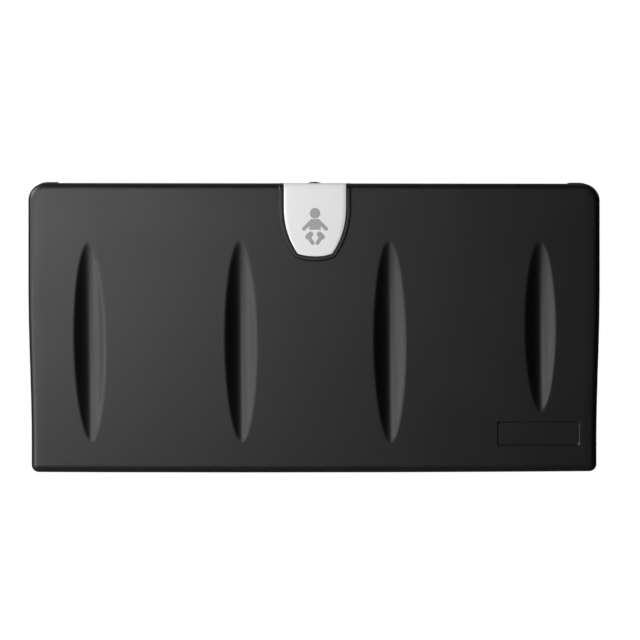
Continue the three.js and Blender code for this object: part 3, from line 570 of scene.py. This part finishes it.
def buildSignPlate():
    plate = grid("sign_shield", across=16, along=120)
    begin(plate)

    # each row of the grid is a line from one side of the shield to the other
    def laid(co):
        x, down = shieldPoint(0.25 + co.y * 0.25, 0.0)
        return Vector((-x * co.x, -sign["seat"], down))

    reshape(plate, laid)
    merged()
    thickened((0, -sign["thickness"], 0))
    pick(plate, "edges", onPlateRim)
    bpy.ops.mesh.bevel(affect="EDGES", offset=sign["plateEdge"], segments=2)
    reshape(plate, lambda co: rolled(co.x, -co.y, co.z))
    leave(plate)
    tidied(plate)
    smoothed(plate, angle=40.0)
    return plate


def buildSignBorder():
    border = grid("sign_border", across=14, along=160)
    begin(border)

    def laid(co):
        t = (co.x + 1) / 2
        x, down = shieldPoint((co.y + 1) / 2, sign["gap"] + t * sign["border"])
        inner = eased(t / sign["borderInner"])
        outer = eased((1 - t) / sign["borderOuter"])
        return rolled(x, sign["borderRise"] * inner * outer - sign["borderSink"], down)

    reshape(border, laid)
    leave(border)
    tidied(border)
    applied(border, "SOLIDIFY", thickness=sign["borderWall"], offset=-1.0)
    smoothed(border, angle=40.0)
    return border


# A generic baby sign: head, body with open arms, and bent legs
# head: middle and radius; limbs: start, end and width; body: half width and height
figure = {
    "head": (0.0, 0.1849, 0.0085),
    "arm": ((0.0052, 0.1722), (0.018, 0.1598), 0.0062),
    "thigh": ((0.0072, 0.1510), (0.0114, 0.1468), 0.0088),
    "shin": ((0.0104, 0.1468), (0.0039, 0.1368), 0.0062),
    "bodyTop": (0.0072, 0.1755), "bodyLow": (0.0096, 0.1583),
    "round": 0.49, "thickness": 0.0001, "stagger": 0.000004, "sink": 0.00004,
}


def stroke(name, start, end, width):
    length = math.dist(start, end) + width
    turn = math.atan2(end[1] - start[1], end[0] - start[0])
    middle = ((start[0] + end[0]) / 2, (start[1] + end[1]) / 2)
    piece = added(name, bpy.ops.mesh.primitive_plane_add, size=1)
    begin(piece)
    bpy.ops.mesh.select_all(action="SELECT")
    bpy.ops.transform.resize(value=(length, width, 1))
    bpy.ops.mesh.bevel(affect="VERTICES", offset=width * figure["round"], segments=6)
    reshape(piece, lambda co: Vector((
        middle[0] + co.x * math.cos(turn) - co.y * math.sin(turn), 0,
        middle[1] + co.x * math.sin(turn) + co.y * math.cos(turn))))
    leave(piece)
    return piece


def buildFigure():
    pieces = []
    for side in (-1, 1):
        for limb in ("arm", "thigh", "shin"):
            (startX, startZ), (endX, endZ), width = figure[limb]
            pieces.append(stroke(
                f"{limb}_{side}", (side * startX, startZ), (side * endX, endZ), width))
    body = added("figure_body", bpy.ops.mesh.primitive_plane_add, size=2)
    begin(body)
    (topHalf, topZ), (lowHalf, lowZ) = figure["bodyTop"], figure["bodyLow"]
    reshape(body, lambda co: Vector((co.x * (topHalf if co.y > 0 else lowHalf), 0,
                                     topZ if co.y > 0 else lowZ)))
    leave(body)
    x, z, radius = figure["head"]
    head = added("figure_head", bpy.ops.mesh.primitive_circle_add, vertices=48, radius=radius,
                 fill_type="NGON", location=(x, 0, z), rotation=(math.pi / 2, 0, 0))
    face = bed["front"] - sign["seat"] - sign["thickness"] + figure["sink"]
    # each piece is a hair thicker than the last, so that no two faces coincide
    for step, piece in enumerate(pieces + [body, head]):
        begin(piece)
        thickened((0, -figure["thickness"] - step * figure["stagger"], 0))
        reshape(piece, lambda co: Vector((co.x, face + co.y, co.z)))
        leave(piece)
        tidied(piece)
    return joined([head, body] + pieces, "sign_figure")


bedShell = buildBedShell()
placed(bedShell, "bed", "moulded_black", plastic, "bed_shell")
signBorder = buildSignBorder()
placed(signBorder, "bed", "moulded_black", plastic, "bed_shell")
signPlate = buildSignPlate()
placed(signPlate, "bed", "sign_white", signWhite, "sign_plate")
babyFigure = buildFigure()
placed(babyFigure, "bed", "sign_white", signGrey, "sign_plate")
print("bed front and sign made")


# Safety strap: two bands of webbing along the tray floor, the front one through the buckle
strap = {
    "half": 0.02, "thickness": 0.00144, "bend": 0.003, "bendSteps": 6, "edge": 0.0004,
    "crown": 0.00012, "ripple": 0.00008, "waves": 160.0,
    "rear": ((-0.0915, -0.155), (-0.0806, -0.155), (-0.0806, -0.0133)),
    "front": ((-0.0915, 0.189), (-0.0806, 0.189), (-0.0806, 0.058), (-0.0783, 0.050),
              (-0.0783, -0.085)),
}


# a chain of points along the band, rounded where it turns
def bandPath(corners):
    points = [Vector(corners[0])]
    for before, corner, after in zip(corners, corners[1:], corners[2:]):
        here = Vector(corner)
        into, out = Vector(before) - here, Vector(after) - here
        trim = min(strap["bend"], into.length / 2, out.length / 2)
        start, end = here + into.normalized() * trim, here + out.normalized() * trim
        for step in range(strap["bendSteps"] + 1):
            t = step / strap["bendSteps"]
            points.append(start * (1 - t) ** 2 + here * 2 * t * (1 - t) + end * t * t)
    points.append(Vector(corners[-1]))
    return points


def alongPath(points, distance):
    for first, second in zip(points, points[1:]):
        length = (second - first).length
        heading = (second - first) / length
        if distance <= length:
            return first + heading * distance, heading
        distance -= length
    return points[-1], heading


def buildStrap(name, corners):
    points = bandPath(corners)
    total = sum((b - a).length for a, b in zip(points, points[1:]))
    band = grid(name, across=12, along=240)
    begin(band)

    def laid(co):
        distance = (co.y + 1) / 2 * total
        middle, heading = alongPath(points, distance)
        crown = strap["crown"] * (1 - co.x ** 4)
        ripple = strap["ripple"] * math.sin(distance * strap["waves"]) * (1 - co.x ** 2)
        middle = middle + Vector((-heading.y, heading.x)) * (crown + ripple)
        return Vector((co.x * strap["half"], middle.x, middle.y))

    reshape(band, laid)
    leave(band)
    tidied(band)
    applied(band, "SOLIDIFY", thickness=strap["thickness"], offset=0.0)
    softened(band, strap["edge"], segments=2, angle=50.0)
    smoothed(band, angle=45.0)
    return band


# Two rows of thread sewn across the tail of the front band
stitch = {"size": (0.0011, 0.00035, 0.00035), "first": -0.0165, "pitch": 0.0033, "count": 11,
          "face": -0.0774, "rows": (-0.081, -0.071)}


def buildStitches(name):
    thread = added(name, bpy.ops.mesh.primitive_uv_sphere_add, segments=10, ring_count=6, radius=1)
    begin(thread)
    bpy.ops.mesh.select_all(action="SELECT")
    bpy.ops.transform.resize(value=stitch["size"])
    leave(thread)
    copies = []
    for z in stitch["rows"]:
        for number in range(stitch["count"]):
            alone(thread)
            bpy.ops.object.duplicate()
            copy = bpy.context.active_object
            copy.location = (stitch["first"] + stitch["pitch"] * number, stitch["face"], z)
            copies.append(copy)
    bpy.data.objects.remove(thread)
    sewn = joined(copies, name)
    settled()
    smoothed(sewn, angle=60.0)
    return sewn


rearBand = buildStrap("webbing_rear", strap["rear"])
placed(rearBand, "bed", "strap_webbing", strapNylon, "strap_rear")
frontBand = buildStrap("webbing_front", strap["front"])
placed(frontBand, "bed", "strap_webbing", strapNylon, "strap_front")
tailStitches = buildStitches("tail_stitches")
placed(tailStitches, "bed", "strap_webbing", threadGrey, "strap_front")
print("strap made")


# Liners: folded sheets, each a little off the next, the first one bowed toward the slot
liner = {
    "sheets": 16, "fill": 0.82, "fold": 0.00036, "bow": 0.0035, "sideGap": 0.0012, "endGap": 0.0006,
    "shift": 0.0006, "shiftTurn": 2.4, "curl": 0.0001, "curlWaves": 7,
}


def buildLiners(side, node):
    low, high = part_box(node)
    middle = (low + high) / 2
    wide = (high.x - low.x) / 2 - liner["sideGap"]
    tall = (high.z - low.z) / 2 - liner["endGap"]
    sheetDepth = (high.y - low.y) / liner["sheets"]
    leaves = []
    for number in range(liner["sheets"]):
        leaf = grid(f"leaf_{number}", across=24, along=12, rotation=(math.pi / 2, 0, 0))
        begin(leaf)
        shift = math.sin(number * liner["shiftTurn"]) * liner["shift"]
        bow = liner["bow"] if number == 0 else 0.0
        place = low.y + sheetDepth * (number + 0.5)

        def laid(co):
            bulge = bow * (1 - co.x ** 2) * (1 - co.z ** 2)
            curl = liner["curl"] * math.sin(co.x * liner["curlWaves"] + number) * (1 - co.z ** 2)
            return Vector((middle.x + co.x * wide + shift, place - bulge + curl,
                           middle.z + co.z * tall + shift / 2))

        reshape(leaf, laid)
        leave(leaf)
        applied(leaf, "SOLIDIFY", thickness=sheetDepth * liner["fill"], offset=0.0)
        softened(leaf, liner["fold"], segments=2, angle=40.0)
        leaves.append(leaf)
    stack = joined(leaves, f"liners_{side}")
    smoothed(stack, angle=40.0)
    return stack


for side in ("left", "right"):
    stack = buildLiners(side, f"liner_stack_{side}")
    placed(stack, "wall_unit", "liner_paper", paper, f"liner_stack_{side}")
print("liners made")


# Cross-head screws: fascia and hooks, and the hinge leaves, where they are sunk nearly flush
screw = {
    "radius": 0.0042, "height": 0.0019, "dome": 0.62,
    "crossWidth": 0.0009, "crossLength": 0.0048, "crossDepth": 0.0016, "crossTurn": 0.4,
    "fascia": ((-0.445, -0.155), (0.445, -0.155), (-0.445, 0.065), (0.445, 0.065), (-0.3, 0.19),
               (0.3, 0.19), (-0.3, -0.175), (0.3, -0.175), (0.0, -0.155), (0.0, 0.19)),
    "fasciaFace": -0.033, "hooks": ((-0.405, 0.127), (0.405, 0.127)), "hookFace": -0.0363,
    "hinge": (-0.39, -0.26, -0.13, 0.0, 0.13, 0.26, 0.39),
    "wallLeaf": (-0.03, -0.2100), "bedLeaf": (-0.0695, -0.19967),
}


def buildScrew(name, place, turn):
    height = screw["height"]
    head = added(name, bpy.ops.mesh.primitive_cylinder_add, vertices=32, radius=screw["radius"],
                 depth=height, location=(0, 0, height / 2))
    begin(head)
    pick(head, "edges", lambda e: all(near(v.co.z, height, 1e-6) for v in e.verts))
    bpy.ops.mesh.bevel(affect="EDGES", offset=height * screw["dome"], segments=4)
    leave(head)
    for angle in (0.0, math.pi / 2):
        cross = added("cross", bpy.ops.mesh.primitive_cube_add, size=1, location=(0, 0, height),
                      rotation=(0, 0, angle + screw["crossTurn"]),
                      scale=(screw["crossLength"], screw["crossWidth"], screw["crossDepth"]))
        applied(head, "BOOLEAN", operation="DIFFERENCE", solver="EXACT", object=cross)
        bpy.data.objects.remove(cross)
    head.rotation_euler = turn
    head.location = place
    alone(head)
    settled()
    smoothed(head, angle=30.0)
    return head


forward, upward, downward = (math.pi / 2, 0, 0), (0, 0, 0), (math.pi, 0, 0)
for number, (x, z) in enumerate(screw["fascia"]):
    placed(buildScrew(f"fascia_screw_{number + 1}", (x, screw["fasciaFace"], z), forward),
           "wall_unit", "zinc_steel", zinc)
for number, (x, z) in enumerate(screw["hooks"]):
    placed(buildScrew(f"hook_screw_{number + 1}", (x, screw["hookFace"], z), forward),
           "wall_unit", "zinc_steel", zinc)
for number, x in enumerate(screw["hinge"]):
    placed(buildScrew(f"wall_leaf_screw_{number + 1}", (x, *screw["wallLeaf"]), upward),
           "wall_unit", "zinc_steel", zinc)
    placed(buildScrew(f"bed_leaf_screw_{number + 1}", (x, *screw["bedLeaf"]), downward),
           "bed", "zinc_steel", zinc)
print("screws made")


# Low dome of the wall unit that the bed closes against, behind the sign
nub = {"half": 0.018, "top": 0.23845, "crown": 0.0105, "sag": 0.0019, "base": 0.2195,
       "front": -0.0515, "back": -0.002, "edge": 0.0012, "reach": 0.03}


def buildNub():
    dome = grid("top_nub", across=40, along=2)
    begin(dome)
    middle, depth = (nub["front"] + nub["back"]) / 2, (nub["back"] - nub["front"]) / 2
    reshape(dome, lambda co: Vector((
        co.x * nub["half"], middle + co.y * depth,
        nub["top"] - nub["sag"] * (co.x * nub["half"] / nub["crown"]) ** 2)))
    thickened((0, 0, -nub["reach"]))
    reshape(dome, lambda co: Vector((co.x, co.y, max(co.z, nub["base"]))))
    leave(dome)
    tidied(dome)
    softened(dome, nub["edge"], segments=3, angle=50.0)
    smoothed(dome, angle=40.0)
    return dome


placed(buildNub(), "wall_unit", "moulded_black", plastic)
print("nub made")


# CAD pieces that stay: material and width of the softened edges, by name or else by slot
byName = {"wall_shell": (plastic, 0.0012), "wall_fascia": (plastic, 0.0012),
          "bed_pan": (plastic, 0.0010)}
bySlot = {
    "moulded_black": (plastic, 0.0006), "zinc_steel": (zinc, 0.0003),
    "bright_chrome": (chrome, 0.0003), "spring_black": (springPaint, 0.0004),
    "bumper_rubber": (rubber, 0.0008), "buckle_plastic": (bucklePlastic, 0.0004),
}
rebuilt = ("bed_shell", "sign_plate", "strap_rear", "strap_front", "liner_stack_left",
           "liner_stack_right")
softEdge = {"weld": 1e-5, "flatAngle": 1.0, "sharpAngle": 32.0, "weight": 100}


def dressed(node, material, width):
    node.data.materials.clear()
    node.data.materials.append(material)
    node.data.polygons.foreach_set("use_smooth", [True] * len(node.data.polygons))
    modified(node, "WELD", merge_threshold=softEdge["weld"])
    modified(node, "DECIMATE", decimate_type="DISSOLVE",
             angle_limit=math.radians(softEdge["flatAngle"]))
    modified(node, "BEVEL", width=width, segments=2, limit_method="ANGLE",
             angle_limit=math.radians(softEdge["sharpAngle"]))
    modified(node, "WEIGHTED_NORMAL", weight=softEdge["weight"], keep_sharp=False)


for part in frame["record"]["subparts"]:
    name = part["node"]
    if name not in rebuilt:
        dressed(nodes[name], *(byName.get(name) or bySlot[part["material_slot"]]))
print("CAD pieces dressed")


# Studio: pale floor, soft key from the left, dark room behind the camera
# each lamp: place, size and power
studio = {
    "floor": -1.05, "floorSize": 5, "floorGreys": (0.2, 0.22), "floorRough": 0.8,
    "floorSeen": (0.82, 1.0), "floorFade": (0.7, 2.0), "floorCloud": 3.0,
    "aim": (-0.1, -0.1, 0.0),
    "lamps": {
        "front": ((-0.96, -2.73, 0.45), 0.8, 37.5), "sideHigh": ((-1.92, -0.72, 1.1), 0.9, 45.0),
        "sideLow": ((-1.56, -1.0, -0.3), 0.8, 15.0), "back": ((0.9, 2.3, 0.2), 1.2, 34.0),
        "over": ((0.0, 1.0, 2.6), 1.4, 4.0),
    },
}


def buildFloor():
    floor = added("floor", bpy.ops.mesh.primitive_plane_add, size=studio["floorSize"],
                  location=(0, 0, studio["floor"]))
    material, shader, wire, place = newMaterial(
        "floor_pale", Roughness=studio["floorRough"], Emission_Strength=1.0)
    cloud = wire.noise(place, studio["floorCloud"])
    seen = wire.node("ShaderNodeLightPath", {}, "Is Camera Ray")
    distance = wire.node("ShaderNodeVectorMath", {0: place}, "Value", operation="LENGTH")
    (darkGrey, paleGrey), (nearGrey, farGrey) = studio["floorGreys"], studio["floorSeen"]
    white = distance.between(*studio["floorFade"]).mixed(grey(nearGrey), grey(farGrey))
    plug(wire, shader, Base_Color=cloud.mixed(grey(darkGrey), grey(paleGrey)),
         Emission_Color=seen.mixed(grey(0.0), white))
    floor.data.materials.append(material)


def areaLamp(name, place, size, power):
    lamp = bpy.data.lights.new(name, "AREA")
    lamp.shape = "SQUARE"
    lamp.size = size
    lamp.energy = power
    holder = bpy.data.objects.new(name, lamp)
    holder.location = place
    heading = Vector(studio["aim"]) - Vector(place)
    holder.rotation_euler = heading.to_track_quat("-Z", "Y").to_euler()
    bpy.context.scene.collection.objects.link(holder)


# White to the camera; in gloss a faint white behind the object, brighter high up at both sides
room = {"ambient": 0.003, "behind": (0.1, 0.5), "high": (0.12, 0.35), "aside": (0.2, 0.45),
        "faint": 0.03, "bright": 0.6}


def buildWorld():
    world = bpy.data.worlds.new("studio")
    bpy.context.scene.world = world
    world.use_nodes = True
    tree = world.node_tree
    tree.nodes.clear()
    wire = Wire(tree)
    seen = wire.node("ShaderNodeLightPath", {}, "Is Camera Ray")
    mirrored = seen.twin("Is Glossy Ray") + seen.twin("Is Transmission Ray")
    heading = wire.node("ShaderNodeTexCoord", {}, "Generated")
    across = wire.node("ShaderNodeSeparateXYZ", {"Vector": heading}, "X")
    behind = across.twin("Y").between(*room["behind"])
    high = across.twin("Z").between(*room["high"])
    aside = wire.maths("ABSOLUTE", across).between(*room["aside"])
    gloss = mirrored * behind * (room["faint"] + high * aside * room["bright"])
    white = wire.maths("MINIMUM", seen + gloss, 1.0)
    colour = white.mixed(grey(room["ambient"]), grey(1.0))
    shade = wire.node("ShaderNodeBackground", {"Color": colour, "Strength": 1.0})
    out = tree.nodes.new("ShaderNodeOutputWorld")
    tree.links.new(shade.socket, out.inputs["Surface"])


buildFloor()
buildWorld()
for name, lamp in studio["lamps"].items():
    areaLamp(name, *lamp)

camera = {"distance": 4.5, "span": 1.0356, "sensor": 36.0, "azimuth": -1.5,
          "aim": (0.0081, -0.102, 0.0123)}
lens = bpy.data.cameras.new("camera")
lens.sensor_width = camera["sensor"]
lens.lens = camera["sensor"] * camera["distance"] / camera["span"]
eye = bpy.data.objects.new("camera", lens)
swing = math.radians(camera["azimuth"])
back = Vector((math.sin(swing), -math.cos(swing), 0.0))
eye.location = Vector(camera["aim"]) + back * camera["distance"]
eye.rotation_euler = (-back).to_track_quat("-Z", "Y").to_euler()
bpy.context.scene.collection.objects.link(eye)
bpy.context.scene.camera = eye
bpy.context.scene.view_settings.view_transform = "Standard"
print("studio made")
